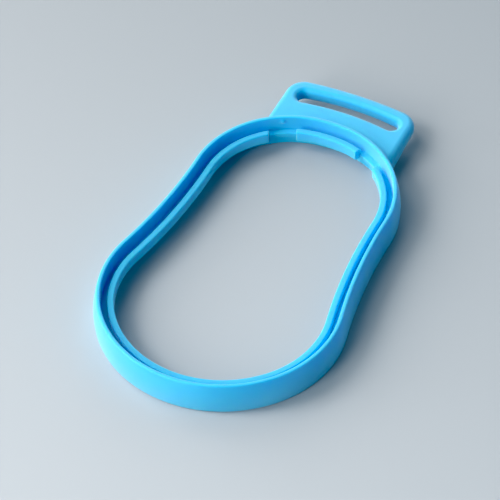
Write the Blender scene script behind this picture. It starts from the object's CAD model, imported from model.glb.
import math

import bmesh
import bpy
from mathutils import Matrix, Vector, geometry


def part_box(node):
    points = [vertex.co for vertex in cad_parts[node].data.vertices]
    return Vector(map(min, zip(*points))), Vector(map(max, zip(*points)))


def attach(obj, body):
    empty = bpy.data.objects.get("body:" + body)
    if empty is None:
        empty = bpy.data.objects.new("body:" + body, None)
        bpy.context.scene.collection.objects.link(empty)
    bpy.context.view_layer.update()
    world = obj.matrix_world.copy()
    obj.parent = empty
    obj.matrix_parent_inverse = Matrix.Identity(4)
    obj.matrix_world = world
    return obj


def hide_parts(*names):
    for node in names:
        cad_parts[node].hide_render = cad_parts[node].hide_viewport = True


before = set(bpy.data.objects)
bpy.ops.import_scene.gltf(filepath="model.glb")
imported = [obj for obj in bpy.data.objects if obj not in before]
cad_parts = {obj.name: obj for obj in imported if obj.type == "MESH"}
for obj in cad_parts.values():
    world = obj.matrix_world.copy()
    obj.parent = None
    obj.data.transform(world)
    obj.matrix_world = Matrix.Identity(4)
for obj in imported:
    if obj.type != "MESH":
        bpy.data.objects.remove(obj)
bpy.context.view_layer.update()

scene = bpy.context.scene
scene.view_settings.view_transform = "Standard"
scene.view_settings.look = "None"
scene.view_settings.exposure = 0.0
scene.view_settings.gamma = 1.0
# a saturated cyan falls outside the display's colours, so its red sinks to nothing in the shade
scene.view_settings.use_curve_mapping = True
scene.view_settings.curve_mapping.black_level = (0.036, 0.020, 0.006)
scene.view_settings.curve_mapping.update()


# ---------------------------------------------------------------- materials
class Nodes:
    """A small helper that adds and links shader nodes."""

    def __init__(self, name):
        self.mat = bpy.data.materials.new(name)
        self.mat.use_nodes = True
        self.tree = self.mat.node_tree
        self.bsdf = next(n for n in self.tree.nodes if n.type == "BSDF_PRINCIPLED")

    def add(self, kind, **props):
        n = self.tree.nodes.new(kind)
        for k, v in props.items():
            setattr(n, k, v)
        return n

    def link(self, a, b):
        self.tree.links.new(a, b)


def plastic(name):
    g = Nodes(name)
    b = g.bsdf
    tc = g.add("ShaderNodeTexCoord")
    broad = g.add("ShaderNodeTexNoise")
    broad.inputs["Scale"].default_value = 38.0
    broad.inputs["Detail"].default_value = 3.0
    g.link(tc.outputs["Object"], broad.inputs["Vector"])
    ramp = g.add("ShaderNodeValToRGB")
    ramp.color_ramp.elements[0].position = 0.30
    ramp.color_ramp.elements[0].color = (0.002, 0.510, 0.855, 1)
    ramp.color_ramp.elements[1].position = 0.70
    ramp.color_ramp.elements[1].color = (0.003, 0.545, 0.885, 1)
    g.link(broad.outputs["Fac"], ramp.inputs["Fac"])
    # rubbed edges: paler in patches where the surface turns sharply
    geo = g.add("ShaderNodeNewGeometry")
    soft = g.add("ShaderNodeBevel", samples=6)
    soft.inputs["Radius"].default_value = 0.00045
    turn = g.add("ShaderNodeVectorMath", operation="DOT_PRODUCT")
    g.link(soft.outputs["Normal"], turn.inputs[0])
    g.link(geo.outputs["Normal"], turn.inputs[1])
    sharp = g.add("ShaderNodeMapRange")
    sharp.inputs["From Min"].default_value = 0.995
    sharp.inputs["From Max"].default_value = 0.86
    g.link(turn.outputs["Value"], sharp.inputs["Value"])
    scuff = g.add("ShaderNodeTexNoise")
    scuff.inputs["Scale"].default_value = 420.0
    scuff.inputs["Detail"].default_value = 4.0
    g.link(tc.outputs["Object"], scuff.inputs["Vector"])
    patchy = g.add("ShaderNodeMapRange")
    patchy.inputs["From Min"].default_value = 0.42
    patchy.inputs["From Max"].default_value = 0.66
    patchy.inputs["To Max"].default_value = 0.35
    g.link(scuff.outputs["Fac"], patchy.inputs["Value"])
    wear = g.add("ShaderNodeMath", operation="MULTIPLY")
    g.link(sharp.outputs["Result"], wear.inputs[0])
    g.link(patchy.outputs["Result"], wear.inputs[1])
    tint = g.add("ShaderNodeMix", data_type="RGBA")
    g.link(wear.outputs["Value"], tint.inputs["Factor"])
    g.link(ramp.outputs["Color"], tint.inputs[6])
    tint.inputs[7].default_value = (0.10, 0.66, 0.99, 1)
    g.link(tint.outputs[2], b.inputs["Base Color"])
    grain = g.add("ShaderNodeTexNoise")
    grain.inputs["Scale"].default_value = 2600.0
    grain.inputs["Detail"].default_value = 2.0
    g.link(tc.outputs["Object"], grain.inputs["Vector"])
    bump = g.add("ShaderNodeBump")
    bump.inputs["Strength"].default_value = 0.08
    bump.inputs["Distance"].default_value = 0.00004
    g.link(grain.outputs["Fac"], bump.inputs["Height"])
    g.link(bump.outputs["Normal"], b.inputs["Normal"])
    rough = g.add("ShaderNodeMapRange")
    rough.inputs["To Min"].default_value = 0.36
    rough.inputs["To Max"].default_value = 0.44
    g.link(broad.outputs["Fac"], rough.inputs["Value"])
    dull = g.add("ShaderNodeMath", operation="MULTIPLY_ADD")
    g.link(scuff.outputs["Fac"], dull.inputs[0])
    dull.inputs[1].default_value = 0.14
    g.link(rough.outputs["Result"], dull.inputs[2])
    g.link(dull.outputs["Value"], b.inputs["Roughness"])
    b.inputs["IOR"].default_value = 1.49
    b.inputs["Sheen Weight"].default_value = 0.45
    b.inputs["Sheen Roughness"].default_value = 0.65
    b.inputs["Subsurface Weight"].default_value = 0.85
    b.inputs["Subsurface Radius"].default_value = (0.25, 0.80, 1.0)
    b.inputs["Subsurface Scale"].default_value = 0.0016
    return g.mat


band_mat = plastic("blue_moulding_band")
lip_mat = plastic("blue_moulding_lip")

# ---------------------------------------------------------------- shapes, in millimetres from the outline's middle
# The ring's outline is a closed chain of tangent arcs. s runs along it from the wide end, and u is the
# distance outward from it. The frame's box says where the whole ring lies.
lo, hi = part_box("outer_band")
HALF, WIDE = 45.125, 28.85
R1, R2, R3, R4, R5 = 29.70, 26.53, 138.0, 23.86, 33.45
XS = 0.958
TOP = hi.z * 1000.0
SHIFT = hi.y * 1000.0 - 60.0


def make_arcs():
    c1, c5 = -HALF + R1, HALF - R5
    xb = WIDE - R2
    yb = c1 - math.sqrt((R1 - R2) ** 2 - xb**2)
    ys = c5 + math.sqrt((R5 - R4) ** 2 - XS**2)
    a, b = R3 + R2, R3 + R4
    dx, dy = XS - xb, ys - yb
    d = math.hypot(dx, dy)
    t = (a * a - b * b + d * d) / (2 * d)
    h = math.sqrt(a * a - t * t)
    xw, yw = xb + (t * dx + h * dy) / d, yb + (t * dy - h * dx) / d
    A, B = math.atan2(yb - c1, xb), math.atan2(yw - yb, xw - xb)
    C, E = math.atan2(yw - ys, xw - XS), math.atan2(ys - c5, XS)
    pi = math.pi
    # centre x, centre y, radius, first angle, last angle, and 1 where the outline is convex
    return [
        (0, c1, R1, -pi / 2, A, 1),
        (xb, yb, R2, A, B, 1),
        (xw, yw, R3, B + pi, C + pi, -1),
        (XS, ys, R4, C, E, 1),
        (0, c5, R5, E, pi - E, 1),
        (-XS, ys, R4, pi - E, pi - C, 1),
        (-xw, yw, R3, -C, -B, -1),
        (-xb, yb, R2, pi - B, pi - A, 1),
        (0, c1, R1, pi - A, 3 * pi / 2, 1),
    ]


ARCS = make_arcs()
LENGTHS = [r * abs(b - a) for _, _, r, a, b, _ in ARCS]
TOTAL = sum(LENGTHS)


def at(s):
    """Point on the outline and its outward normal."""
    s = s % TOTAL
    for (cx, cy, r, a, b, k), length in zip(ARCS, LENGTHS):
        if s <= length or (cx, cy, r, a, b, k) == ARCS[-1]:
            w = a + (b - a) * s / length
            return cx + r * math.cos(w), cy + r * math.sin(w), k * math.cos(w), k * math.sin(w)
        s -= length


def place(s, u, z):
    x, y, nx, ny = at(s)
    return (x + u * nx, y + u * ny, z)


def where(x, y):
    """(s, u) of a point near the narrow end, where every arc is convex."""
    best = None
    start = 0.0
    for (cx, cy, r, a, b, k), length in zip(ARCS, LENGTHS):
        if k == 1 and cy > 0:
            w = math.atan2(y - cy, x - cx)
            if w < a - 1.0:
                w += 2 * math.pi
            f = (w - a) / (b - a)
            if -1e-9 <= f <= 1 + 1e-9 or best is None:
                best = (start + length * f, math.hypot(x - cx, y - cy) - r)
                if -1e-9 <= f <= 1 + 1e-9:
                    return best
        start += length
    return best


def round_part(cu, cz, r, first, last, n):
    """Points and normals of an arc in the section; angles in degrees, n segments."""
    out = []
    for i in range(n + 1):
        w = math.radians(first + (last - first) * i / n)
        out.append((cu + r * math.cos(w), cz + r * math.sin(w), math.cos(w), math.sin(w)))
    return out


def hollow_part(cu, cz, r, first, last, n):
    return [(u, z, -a, -b) for u, z, a, b in round_part(cu, cz, r, first, last, n)]


def circle_through(p1, p2, p3):
    (x1, y1), (x2, y2), (x3, y3) = p1, p2, p3
    d = 2 * (x1 * (y2 - y3) + x2 * (y3 - y1) + x3 * (y1 - y2))
    ux = ((x1**2 + y1**2) * (y2 - y3) + (x2**2 + y2**2) * (y3 - y1) + (x3**2 + y3**2) * (y1 - y2)) / d
    uy = ((x1**2 + y1**2) * (x3 - x2) + (x2**2 + y2**2) * (x1 - x3) + (x3**2 + y3**2) * (x2 - x1)) / d
    return ux, uy, math.hypot(x1 - ux, y1 - uy)


def between(p, q, n):
    """n - 1 points inside a straight run, with its normal to the right of its direction."""
    du, dz = q[0] - p[0], q[1] - p[1]
    d = math.hypot(du, dz)
    nu, nz = dz / d, -du / d
    return [(p[0] + du * i / n, p[1] + dz * i / n, nu, nz) for i in range(1, n)]


FU, FZ, FR = circle_through((1.05, 7.90), (1.82, 4.0), (1.75, 0.60))   # the band's bulging outer face
FU -= 0.02


def face_u(z):
    return FU + math.sqrt(FR**2 - (z - FZ) ** 2)


def face_point(z):
    u = face_u(z)
    return (u, z, (u - FU) / FR, (z - FZ) / FR)


MARK_S, MARK_Z = 12.95, 6.90    # the nub's place along the outline from the narrow end's middle, and its height
SIDE = 14                      # rows of the face that meet the eyelet's side
FACE_TOP, FACE_LOW = 7.45, 0.60


def band_profile():
    """The band's section as (u, z, normal u, normal z), clockwise seen along s: down the outer face, in under
    the foot and up inside. Also the first and last row of the part of the face that the eyelet takes."""
    p = []
    p += round_part(0.63, TOP - 0.42, 0.42, 90, 0, 8)[:-1]
    p.append(face_point(TOP - 0.42))
    p.append(face_point(7.68))
    first = len(p)
    for i in range(SIDE):
        p.append(face_point(FACE_TOP + (FACE_LOW - FACE_TOP) * i / (SIDE - 1)))
    last = len(p) - 1
    p += round_part(1.15, 0.60, 0.60, 0, -90, 8)[1:]
    p += between((1.15, 0.0), (-0.30, 0.0), 3)
    p += round_part(-0.30, 0.30, 0.30, -90, -180, 5)
    p += between((-0.60, 0.30), (-0.60, 3.0), 5)
    p += hollow_part(-0.80, 3.0, 0.20, 0, 90, 3)
    p += between((-0.80, 3.20), (-1.52, 3.20), 2)
    p += round_part(-1.52, 3.28, 0.08, -90, -180, 2)
    p += between((-1.60, 3.28), (-1.60, 4.16), 2)
    p += round_part(-1.48, 4.16, 0.12, 180, 90, 3)
    p += between((-1.48, 4.28), (-0.25, 4.28), 3)
    p += hollow_part(-0.25, 4.53, 0.25, -90, 0, 4)
    p += between((0.0, 4.53), (0.0, TOP - 0.35), 12)
    p += round_part(0.35, TOP - 0.35, 0.35, 180, 90, 7)
    return p, first, last


class Shell:
    """Collects points, their normals and faces, and makes the mesh object."""

    def __init__(self, name):
        self.name, self.co, self.no, self.faces = name, [], [], []

    def add(self, point, normal):
        self.co.append(tuple(point))
        self.no.append(tuple(normal))
        return len(self.co) - 1

    def quad(self, a, b, c, d):
        self.faces.append((a, b, c, d))

    def strip(self, first, second, closed=False):
        n = len(first)
        for i in range(n if closed else n - 1):
            j = (i + 1) % n
            self.quad(first[i], first[j], second[j], second[i])

    def build(self, material, node, slot):
        # points that no face uses are left out
        used = sorted({i for f in self.faces for i in f})
        order = {old: new for new, old in enumerate(used)}
        self.co = [self.co[i] for i in used]
        self.no = [self.no[i] for i in used]
        self.faces = [tuple(order[i] for i in f) for f in self.faces]
        mesh = bpy.data.meshes.new(self.name)
        mesh.from_pydata([(x * 0.001, (y + SHIFT) * 0.001, z * 0.001) for x, y, z in self.co], [], self.faces)
        bm = bmesh.new()
        bm.from_mesh(mesh)
        bmesh.ops.recalc_face_normals(bm, faces=bm.faces)
        if bm.calc_volume(signed=True) < 0:
            bmesh.ops.reverse_faces(bm, faces=bm.faces)
        loose = [e for e in bm.edges if len(e.link_faces) != 2]
        print("%s: %d points, %d faces, %d open edges, %.1f mm3" % (
            self.name, len(bm.verts), len(bm.faces), len(loose), bm.calc_volume() * 1e9))
        bm.normal_update()
        smooth = [v.normal.copy() for v in bm.verts]
        bm.to_mesh(mesh)
        bm.free()
        for p in mesh.polygons:
            p.use_smooth = True
        normals = []
        for given, own in zip(self.no, smooth):
            n = Vector(given)
            n = own if n.length < 0.5 or n.dot(own) < 0.2 else n.normalized()
            normals.append(n)
        mesh.normals_split_custom_set_from_vertices(normals)
        mesh.materials.append(material)
        ob = bpy.data.objects.new(self.name, mesh)
        scene.collection.objects.link(ob)
        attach(ob, "root")
        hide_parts(node)
        return ob


def smoothstep(t):
    t = min(max(t, 0.0), 1.0)
    return t * t * (3 - 2 * t)


# ---------------------------------------------------------------- eyelet
W, RC, RF, YF = 17.40, 4.90, 105.0, 60.0
RT = 1.70                       # rounding of the eyelet's long edges
TAB_TOP, TAB_LOW, TAB_THIN = 6.20, 1.00, 2.40
YA, YB = 43.5, 54.0             # the underside rises between these
SLOT_HALF, SLOT_W, SLOT_Y, SLOT_R, SLOT_ROUND = 13.80, 3.80, 54.55, 68.0, 1.30


def under(y):
    """Height of the eyelet's underside, and its slope."""
    t = (y - YA) / (YB - YA)
    if t <= 0:
        return TAB_LOW, 0.0
    if t >= 1:
        return TAB_THIN, 0.0
    return TAB_LOW + (TAB_THIN - TAB_LOW) * smoothstep(t), (TAB_THIN - TAB_LOW) * 6 * t * (1 - t) / (YB - YA)


def rim_section(n_round, n_side):
    """Angles and kinds down the eyelet's edge: top rounding, side, bottom rounding."""
    out = [("t", 90 - 90 * i / n_round) for i in range(n_round + 1)]
    out += [("s", i / n_side) for i in range(1, n_side)]
    out += [("b", -90 * i / n_round) for i in range(n_round + 1)]
    return out


EDGE = rim_section(6, 3)        # 7 + 2 + 7 points, so 14 between the two flats' ends
assert len(EDGE) == SIDE + 2


def edge_point(px, py, nx, ny, entry, r, top, outward=1):
    """A point on a rounded vertical edge that follows a plan curve; n points out of the material."""
    kind, w = entry
    low, slope = under(py)
    if kind == "s":
        z0, z1 = top - r, low + r
        return (px, py, z0 + (z1 - z0) * w), (nx, ny, 0)
    a = math.radians(w)
    inset = r * (1 - math.cos(a))
    x, y = px - nx * inset, py - ny * inset
    if kind == "t":
        return (x, y, top - r + r * math.sin(a)), (nx * math.cos(a), ny * math.cos(a), math.sin(a))
    low, slope = under(y)
    return (x, y, low + r + r * math.sin(a)), (nx * math.cos(a), ny * math.cos(a) + slope * -math.sin(a), math.sin(a))


def ball(x0, z0, nx, nz, r):
    """Rolls a ball of radius r between the band's face and the eyelet's surface line at (x0, z0) with normal (nx, nz).
    Returns the ball's centre and the touching points on the eyelet and on the band."""
    cx, cz = x0 + r * nx, z0 + r * nz

    def gap(y):
        s, u = where(cx, y)
        return math.hypot(u - FU, cz - FZ) - FR - r

    a, b = 30.0, 60.0
    for _ in range(60):
        m = (a + b) / 2
        if gap(m) < 0:
            a = m
        else:
            b = m
    y = (a + b) / 2
    s, u = where(cx, y)
    k = FR / (FR + r)
    wall = place(s, FU + (u - FU) * k, FZ + (cz - FZ) * k)
    return (cx, y, cz), (x0, y, z0), wall


def arc_between(c, p, q, n):
    """Points on the ball's surface from p to q, n segments, with normals towards the ball's centre."""
    C, P, Q = Vector(c), Vector(p), Vector(q)
    a, b = P - C, Q - C
    out = []
    w = a.angle(b)
    for i in range(n + 1):
        t = i / n
        d = (a.normalized() * math.sin((1 - t) * w) + b.normalized() * math.sin(t * w)) / math.sin(w)
        length = a.length + (b.length - a.length) * t
        out.append((C + d * length, -d))
    return out


def root_loop(n_flat):
    """The eyelet's section as a closed loop of (x, z, normal x, normal z, fillet radius): along the top flat from
    +x to -x, down the -x side, along the underside and up the +x side."""
    loop = []
    big, small = 1.15, 0.28
    flat = W - RT
    low = TAB_LOW

    def fillet(nz):
        return big + (small - big) * smoothstep((0.25 - nz) / 1.15)

    def side(sign):
        out = []
        for kind, w in EDGE:
            a = math.radians(w)
            if kind == "s":
                z0, z1 = TAB_TOP - RT, low + RT
                out.append((sign * W, z0 + (z1 - z0) * w, sign, 0.0))
            elif kind == "t":
                out.append((sign * (flat + RT * math.cos(a)), TAB_TOP - RT + RT * math.sin(a), sign * math.cos(a), math.sin(a)))
            else:
                out.append((sign * (flat + RT * math.cos(a)), low + RT + RT * math.sin(a), sign * math.cos(a), math.sin(a)))
        return out

    loop += [(flat - 2 * flat * i / n_flat, TAB_TOP, 0.0, 1.0) for i in range(n_flat + 1)]
    loop += side(-1)[1:-1]
    loop += [(-flat + 2 * flat * i / n_flat, low, 0.0, -1.0) for i in range(n_flat + 1)]
    loop += side(1)[::-1][1:-1]
    return [(x, z, nx, nz, fillet(nz)) for x, z, nx, nz in loop]


def plan_outline():
    """The eyelet's plan from its +x root round the far end to its -x root: (x, y, normal x, normal y)."""
    cyf = YF - RF
    xc = W - RC
    yc = cyf + math.sqrt((RF - RC) ** 2 - xc**2)
    af = math.atan2(yc - cyf, xc)
    pts = []
    n = 14
    pts += [("line", i / n) for i in range(1, n)]
    right = []
    for i in range(11):
        a = af * i / 10
        right.append((xc + RC * math.cos(a), yc + RC * math.sin(a), math.cos(a), math.sin(a)))
    far = []
    m = 40
    for i in range(1, m):
        a = af + (math.pi - 2 * af) * i / m
        far.append((RF * math.cos(a), cyf + RF * math.sin(a), math.cos(a), math.sin(a)))
    left = [(-x, y, -nx, ny) for x, y, nx, ny in right[::-1]]
    return n, yc, right + far + left


def slot_outline():
    """The slot's edge, anticlockwise: (x, y, and the normal out of the material, which points into the slot)."""
    cy = SLOT_Y - SLOT_R
    hw = SLOT_W / 2
    # ends of the middle line, so that the rounded ends reach SLOT_HALF
    ang = math.asin((SLOT_HALF - hw) / SLOT_R)
    pts = []
    n, m = 34, 12
    a0, a1 = math.pi / 2 - ang, math.pi / 2 + ang
    for i in range(n + 1):
        a = a0 + (a1 - a0) * i / n
        pts.append(((SLOT_R + hw) * math.cos(a), cy + (SLOT_R + hw) * math.sin(a), -math.cos(a), -math.sin(a)))
    ex, ey = SLOT_R * math.cos(a1), cy + SLOT_R * math.sin(a1)
    for i in range(1, m):
        b = a1 + math.pi * i / m
        pts.append((ex + hw * math.cos(b), ey + hw * math.sin(b), -math.cos(b), -math.sin(b)))
    for i in range(n + 1):
        a = a1 + (a0 - a1) * i / n
        pts.append(((SLOT_R - hw) * math.cos(a), cy + (SLOT_R - hw) * math.sin(a), math.cos(a), math.sin(a)))
    ex, ey = SLOT_R * math.cos(a0), cy + SLOT_R * math.sin(a0)
    for i in range(1, m):
        b = a0 + math.pi + math.pi * i / m
        pts.append((ex + hw * math.cos(b), ey + hw * math.sin(b), -math.cos(b), -math.sin(b)))
    return pts


def inside(px, py, ring):
    hit = False
    for i in range(len(ring)):
        (x1, y1), (x2, y2) = ring[i - 1], ring[i]
        if (y1 > py) != (y2 > py) and px < (x2 - x1) * (py - y1) / (y2 - y1) + x1:
            hit = not hit
    return hit


def near(px, py, ring):
    best = 1e9
    for i in range(len(ring)):
        (x1, y1), (x2, y2) = ring[i - 1], ring[i]
        dx, dy = x2 - x1, y2 - y1
        t = min(max(((px - x1) * dx + (py - y1) * dy) / (dx * dx + dy * dy + 1e-12), 0), 1)
        best = min(best, math.hypot(px - x1 - t * dx, py - y1 - t * dy))
    return best


def fill(shell, outer, hole, height, step=1.3):
    """Fills the flat between an outer loop and a hole, given as lists of point indices, with triangles on
    z = height(y), and adds points inside so that the triangles stay even."""
    ring = [shell.co[i][:2] for i in outer]
    gap = [shell.co[i][:2] for i in hole]
    index = list(outer) + list(hole)
    pts = [Vector(p) for p in ring + gap]
    edges = [(i, (i + 1) % len(outer)) for i in range(len(outer))]
    k = len(outer)
    edges += [(k + i, k + (i + 1) % len(hole)) for i in range(len(hole))]
    xs, ys = [p[0] for p in ring], [p[1] for p in ring]
    row = 0
    y = min(ys) + step * 0.5
    while y < max(ys):
        x = min(xs) + (step * 0.5 if row % 2 else step)
        while x < max(xs):
            if inside(x, y, ring) and not inside(x, y, gap) and near(x, y, ring) > step * 0.55 and near(x, y, gap) > step * 0.55:
                pts.append(Vector((x, y)))
                z, slope = height(y)
                n = (0, 0, 1) if height is flat_top else (0, slope, -1)
                index.append(shell.add((x, y, z), n))
            x += step
        y += step * 0.87
        row += 1
    out = geometry.delaunay_2d_cdt(pts, edges, [], 0, 1e-7)
    verts, _, tris, origin = out[0], out[1], out[2], out[3]
    for tri in tris:
        cx = sum(verts[i][0] for i in tri) / 3
        cy = sum(verts[i][1] for i in tri) / 3
        if inside(cx, cy, ring) and not inside(cx, cy, gap):
            shell.faces.append(tuple(index[origin[i][0]] for i in tri))


def flat_top(y):
    return TAB_TOP, 0.0


def make_band():
    shell = Shell("outer_band_shell")
    profile, row0, row1 = band_profile()
    n_flat = 38
    loop = root_loop(n_flat)
    rolled = [ball(x, z, nx, nz, r) for x, z, nx, nz, r in loop]
    spots = [where(w[0], w[1])[0] for _, _, w in rolled]
    lo_s, hi_s = min(spots) - 0.55, max(spots) + 0.55
    first_flat, last_flat = spots[0], spots[n_flat]
    # stations along the outline
    stations = [lo_s] + [first_flat + (last_flat - first_flat) * i / n_flat for i in range(n_flat + 1)] + [hi_s]
    rest = TOTAL - (hi_s - lo_s)
    n = int(rest / 0.80)
    stations += [hi_s + rest * i / n for i in range(1, n)]
    i0, i1 = 0, n_flat + 2
    rows = []
    for s in stations:
        x, y, nx, ny = at(s)
        ring = []
        for u, z, nu, nz in profile:
            ring.append(shell.add((x + u * nx, y + u * ny, z), (nu * nx, nu * ny, nz)))
        rows.append(ring)
    count, depth = len(rows), len(profile)
    # the cells of the inner face that carry the nub
    spot = TOTAL / 2 + MARK_S
    g0 = max(i for i in range(i1) if stations[i] < spot - 0.75)
    g1 = min(i for i in range(i1) if stations[i] > spot + 0.75)
    flat_rows = [j for j in range(depth) if abs(profile[j][0]) < 1e-6 and 4.6 < profile[j][1] < TOP - 0.36]
    h0 = max(j for j in flat_rows if profile[j][1] < MARK_Z - 0.80)
    h1 = min(j for j in flat_rows if profile[j][1] > min(MARK_Z + 0.80, TOP - 0.75))
    for i in range(count):
        for j in range(depth):
            if i0 <= i < i1 and row0 <= j < row1 or g0 <= i < g1 and h0 <= j < h1:
                continue
            a, b = rows[i], rows[(i + 1) % count]
            k = (j + 1) % depth
            shell.quad(a[j], b[j], b[k], a[k])
    cells = [(i, h0) for i in range(g0, g1)] + [(g1, j) for j in range(h0, h1)]
    cells += [(i, h1) for i in range(g1, g0, -1)] + [(g0, j) for j in range(h1, h0, -1)]
    dots = [(spot, MARK_Z)]
    for r, n in ((0.16, 6), (0.32, 10), (0.48, 14), (0.64, 16)):
        dots += [(spot + r * 0.85 * math.cos(2 * math.pi * (i + 0.5) / n), MARK_Z + r * 1.25 * math.sin(2 * math.pi * (i + 0.5) / n)) for i in range(n)]
    dots = [d for d in dots if profile[h0][1] + 0.06 < d[1] < profile[h1][1] - 0.06]
    patch(shell, [rows[i][j] for i, j in cells], [(stations[i], profile[j][1]) for i, j in cells], dots, gate_surface(spot, MARK_Z))
    # the rectangle's edge in the loop's order: s rises from +x to -x
    edge = [rows[i][row0] for i in range(i0 + 1, i1)]
    edge += [rows[i1][j] for j in range(row0, row1 + 1)]
    edge += [rows[i][row1] for i in range(i1 - 1, i0, -1)]
    edge += [rows[i0][j] for j in range(row1, row0 - 1, -1)]
    assert len(edge) == len(loop), (len(edge), len(loop))
    # fillet between the band and the eyelet
    n_fil = 6
    layers = [[] for _ in range(n_fil + 1)]
    for c, p, q in rolled:
        for k, (co, no) in enumerate(arc_between(c, q, p, n_fil)):
            layers[k].append(shell.add(co, no))
    shell.strip(edge, layers[0], closed=True)
    for a, b in zip(layers, layers[1:]):
        shell.strip(a, b, closed=True)
    base = layers[-1]
    top_root = base[: n_flat + 1]                                   # +x to -x
    left_side = base[n_flat: n_flat + SIDE + 2]                     # -x, top to bottom
    low_root = base[n_flat + SIDE + 1: 2 * n_flat + SIDE + 2]       # -x to +x
    right_side = [base[0]] + base[2 * n_flat + SIDE + 2:][::-1] + [base[2 * n_flat + SIDE + 1]]   # +x, top to bottom
    # the rounded edge round the eyelet, from the +x root to the -x root
    n_line, yc, plan = plan_outline()
    columns = [right_side]

    def line_column(sign, ids, t):
        col = []
        for entry, i in zip(EDGE, ids):
            y0 = shell.co[i][1]
            y = y0 + (yc - y0) * t
            co, no = edge_point(sign * W, y, sign, 0.0, entry, RT, TAB_TOP)
            col.append(shell.add(co, no))
        return col

    for i in range(1, n_line):
        columns.append(line_column(1, right_side, i / n_line))
    for x, y, nx, ny in plan:
        col = []
        for entry in EDGE:
            co, no = edge_point(x, y, nx, ny, entry, RT, TAB_TOP)
            col.append(shell.add(co, no))
        columns.append(col)
    for i in range(n_line - 1, 0, -1):
        columns.append(line_column(-1, left_side, i / n_line))
    columns.append(left_side)
    for a, b in zip(columns, columns[1:]):
        shell.strip(a, b)
    # slot
    ring = []
    for x, y, nx, ny in slot_outline():
        col = []
        for entry in EDGE:
            co, no = edge_point(x, y, nx, ny, entry, SLOT_ROUND, TAB_TOP)
            col.append(shell.add(co, no))
        ring.append(col)
    for a, b in zip(ring, ring[1:] + ring[:1]):
        shell.strip(a, b)
    # flats
    fill(shell, top_root[::-1] + [c[0] for c in columns[1:-1]], [c[0] for c in ring], flat_top)
    fill(shell, low_root + [c[-1] for c in columns[1:-1]], [c[-1] for c in ring], under)
    return shell


def patch(shell, ring, params, inner, surface):
    """Fills a loop of points, whose places in the surface are params, with triangles through the inner places.
    surface(a, b) gives a point and its normal."""
    index = list(ring)
    for a, b in inner:
        co, no = surface(a, b)
        index.append(shell.add(co, no))
    pts = [Vector(p) for p in list(params) + list(inner)]
    edges = [(i, (i + 1) % len(ring)) for i in range(len(ring))]
    verts, _, tris, origin = geometry.delaunay_2d_cdt(pts, edges, [], 0, 1e-7)[:4]
    for tri in tris:
        cx = sum(verts[i][0] for i in tri) / 3
        cy = sum(verts[i][1] for i in tri) / 3
        if inside(cx, cy, list(params)):
            shell.faces.append(tuple(index[origin[i][0]] for i in tri))


def gate_surface(s0, z0):
    """The band's inner face with a low worn nub on it, where the mould was filled."""

    def height(a, b):
        d2 = ((a - s0) / 0.48) ** 2 + ((b - z0) / 0.62) ** 2
        return 0.26 * math.exp(-d2 * d2)

    def surface(a, b):
        e = 0.01
        h = height(a, b)
        ha = (height(a + e, b) - height(a - e, b)) / (2 * e)
        hb = (height(a, b + e) - height(a, b - e)) / (2 * e)
        x, y, nx, ny = at(a)
        tx, ty = -ny, nx
        return (x - h * nx, y - h * ny, b), (-nx - ha * tx, -ny - ha * ty, -hb)

    return surface


def make_lip(name, s_first, s_last, out_u=-1.59, in_u=-3.21, low=3.20, top=6.12, end=0.22):
    """A length of the inner lip. s_first(u) and s_last(u) say where its ends are cut."""
    shell = Shell(name)
    rt, rb, ro = 0.38, 0.30, 0.38
    p = []
    p += round_part(out_u - ro, top - ro, ro, 90, 0, 6)[:-1]
    p += [(out_u, top - ro, 1, 0)] + between((out_u, top - ro), (out_u, low + 0.05), 5)
    p += round_part(out_u - 0.05, low + 0.05, 0.05, 0, -90, 2)
    p += between((out_u - 0.05, low), (in_u + rb, low), 2)
    p += round_part(in_u + rb, low + rb, rb, -90, -180, 5)
    p += between((in_u, low + rb), (in_u, top - rt), 5)
    p += round_part(in_u + rt, top - rt, rt, 180, 90, 10)
    p += between((in_u + rt, top), (out_u - ro, top), 2)
    cu, cz, hu, hz = (in_u + out_u) / 2, (low + top) / 2, (out_u - in_u) / 2, (top - low) / 2
    mid_first, mid_last = s_first(cu), s_last(cu)
    length = mid_last - mid_first
    k = 5
    marks = [(end * (1 - math.sin(math.pi / 2 * (k - i) / k)), end * (1 - math.cos(math.pi / 2 * (k - i) / k)), -(k - i) / k) for i in range(k + 1)]
    n = max(int((length - 2 * end) / 0.80), 6)
    body = [(end + (length - 2 * end) * i / n, 0.0, 0.0) for i in range(1, n)]
    back = [(length - d, inset, -w) for d, inset, w in marks[::-1]]
    rows = []
    for d, inset, w in marks + body + back:
        t = d / length
        row = []
        for u, z, nu, nz in p:
            uu = cu + (u - cu) * (hu - inset) / hu
            zz = cz + (z - cz) * (hz - inset) / hz
            s = s_first(uu) + (s_last(uu) - s_first(uu)) * t
            x, y, nx, ny = at(s)
            c, q = math.cos(math.pi / 2 * w), math.sin(math.pi / 2 * w)
            no = (c * nu * nx - q * ny, c * nu * ny + q * nx, c * nz)
            row.append(shell.add((x + uu * nx, y + uu * ny, zz), no))
        rows.append(row)
    for a, b in zip(rows, rows[1:]):
        shell.strip(a, b, closed=True)
    for row in (rows[0], rows[-1]):
        # an inner ring and a centre point close each end
        c = Vector((0, 0, 0))
        for i in row:
            c += Vector(shell.co[i])
        c /= len(row)
        no = shell.no[row[0]]
        ring = [shell.add(Vector(shell.co[i]).lerp(c, 0.45), no) for i in row]
        shell.strip(row, ring, closed=True)
        hub = shell.add(c, no)
        for i in range(len(ring)):
            shell.faces.append((ring[i], ring[(i + 1) % len(ring)], hub))
    return shell


def cut(inner, outer):
    """s along a straight cut through two plan points, as a function of u."""
    (s0, u0), (s1, u1) = where(*inner), where(*outer)
    return lambda u: s0 + (s1 - s0) * (u - u0) / (u1 - u0)


free_end = cut((13.95, 36.60), (14.75, 39.40))
seg_end = cut((7.85, 40.20), (8.95, 42.55))

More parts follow.
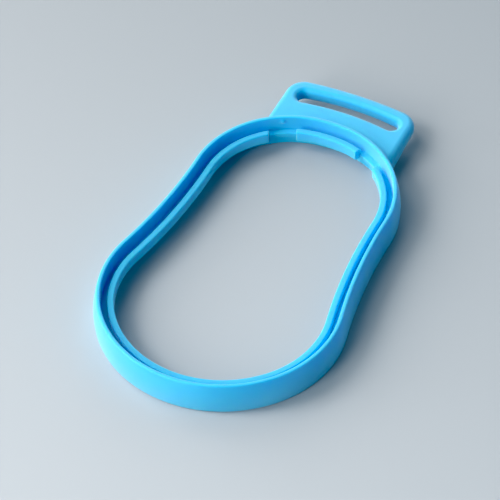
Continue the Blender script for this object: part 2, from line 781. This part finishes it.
band = make_band().build(band_mat, "outer_band", "band_plastic")
rim = make_lip("inner_rim_shell", lambda u: -free_end(u), free_end).build(lip_mat, "inner_rim", "lip_plastic")
segment = make_lip("centre_segment_shell", seg_end, lambda u: TOTAL - seg_end(u)).build(lip_mat, "centre_segment", "lip_plastic")

# ---------------------------------------------------------------- floor
def floor_material():
    g = Nodes("floor_paper")
    b = g.bsdf
    tc = g.add("ShaderNodeTexCoord")
    n = g.add("ShaderNodeTexNoise")
    n.inputs["Scale"].default_value = 3.0
    n.inputs["Detail"].default_value = 2.0
    g.link(tc.outputs["Object"], n.inputs["Vector"])
    # the paper is a touch lighter towards the viewer
    turn = g.add("ShaderNodeVectorMath", operation="DOT_PRODUCT")
    g.link(tc.outputs["Object"], turn.inputs[0])
    turn.inputs[1].default_value = (0.4404 - 0.10, -0.8975 - 0.05, 0.0)
    tone = g.add("ShaderNodeMapRange")
    tone.inputs["From Min"].default_value = -0.10
    tone.inputs["From Max"].default_value = 0.10
    tone.inputs["To Min"].default_value = 0.86
    tone.inputs["To Max"].default_value = 1.16
    g.link(turn.outputs["Value"], tone.inputs["Value"])
    speck = g.add("ShaderNodeMapRange")
    speck.inputs["To Min"].default_value = 0.985
    speck.inputs["To Max"].default_value = 1.015
    g.link(n.outputs["Fac"], speck.inputs["Value"])
    both = g.add("ShaderNodeMath", operation="MULTIPLY")
    g.link(tone.outputs["Result"], both.inputs[0])
    g.link(speck.outputs["Result"], both.inputs[1])
    paint = g.add("ShaderNodeVectorMath", operation="SCALE")
    paint.inputs[0].default_value = (0.468, 0.494, 0.518)
    g.link(both.outputs["Value"], paint.inputs["Scale"])
    g.link(paint.outputs["Vector"], b.inputs["Base Color"])
    b.inputs["Roughness"].default_value = 0.7
    b.inputs["Specular IOR Level"].default_value = 0.2
    return g.mat


mesh = bpy.data.meshes.new("studio_floor")
L = 6.0
mesh.from_pydata([(-L, -L, 0), (L, -L, 0), (L, L, 0), (-L, L, 0)], [], [(0, 1, 2, 3)])
floor = bpy.data.objects.new("studio_floor", mesh)
scene.collection.objects.link(floor)
floor.data.materials.append(floor_material())

# ---------------------------------------------------------------- camera
cam = bpy.data.cameras.new("camera")
cam.sensor_width = 36.0
cam.lens = 230.4
cam.clip_start = 0.01
cam.clip_end = 50.0
cam_ob = bpy.data.objects.new("camera", cam)
cam_ob.matrix_world = Matrix((
    (0.8975478, -0.30844711, 0.31506878, 0.24102932),
    (0.44035768, 0.66307695, -0.60532146, -0.47146106),
    (-0.02220519, 0.6820479, 0.73097031, 0.56760444),
    (0, 0, 0, 1),
))
scene.collection.objects.link(cam_ob)
scene.camera = cam_ob

# ---------------------------------------------------------------- light
right = Vector((0.8975, 0.4404, 0)).normalized()
away = Vector((-0.4404, 0.8975, 0)).normalized()


def area(name, azimuth, elevation, distance, size, power, colour=(1, 1, 1), size_y=None):
    """azimuth 0 is at the picture's left, 90 behind the object, in degrees"""
    a, e = math.radians(azimuth), math.radians(elevation)
    d = (-right * math.cos(a) + away * math.sin(a)) * math.cos(e) + Vector((0, 0, math.sin(e)))
    light = bpy.data.lights.new(name, "AREA")
    light.energy = power * 1.15
    light.color = colour
    if size_y:
        light.shape = "RECTANGLE"
        light.size, light.size_y = size, size_y
    else:
        light.shape = "DISK"
        light.size = size
    ob = bpy.data.objects.new(name, light)
    ob.location = d * distance
    ob.rotation_mode = "QUATERNION"
    ob.rotation_quaternion = d.to_track_quat("Z", "Y")
    scene.collection.objects.link(ob)
    return ob


# one broad window-like source on the left, built from soft lamps, with a faint fill from the right
area("left_high", 0, 42, 1.0, 0.45, 4.5, (1.0, 0.995, 0.98))
area("left_low", 0, 20, 1.0, 0.45, 2.6, (1.0, 0.995, 0.98))
area("left_top", 20, 66, 1.0, 0.50, 1.5, (1.0, 1.0, 0.99))
area("near_left_high", 315, 42, 1.0, 0.45, 1.25, (1.0, 0.995, 0.98))
area("near_left_low", 315, 20, 1.0, 0.45, 3.7, (1.0, 0.995, 0.98))
area("far_left_high", 45, 42, 1.0, 0.45, 1.25, (1.0, 0.995, 0.98))
area("far_left_low", 45, 20, 1.0, 0.45, 2.1, (1.0, 0.995, 0.98))
area("far_high", 90, 42, 1.0, 0.45, 0.65, (0.98, 0.99, 1.0))
area("far_low", 95, 20, 1.0, 0.45, 1.1, (0.98, 0.99, 1.0))
area("right_fill", 145, 30, 1.0, 0.60, 1.1, (0.60, 0.86, 1.0))
area("near_right_fill", 205, 36, 1.0, 0.60, 0.9, (0.52, 0.82, 1.0))

world = bpy.data.worlds.new("soft_room")
scene.world = world
world.use_nodes = True
bg = next(n for n in world.node_tree.nodes if n.type == "BACKGROUND")
bg.inputs["Color"].default_value = (0.50, 0.68, 1.0, 1)
bg.inputs["Strength"].default_value = 0.05
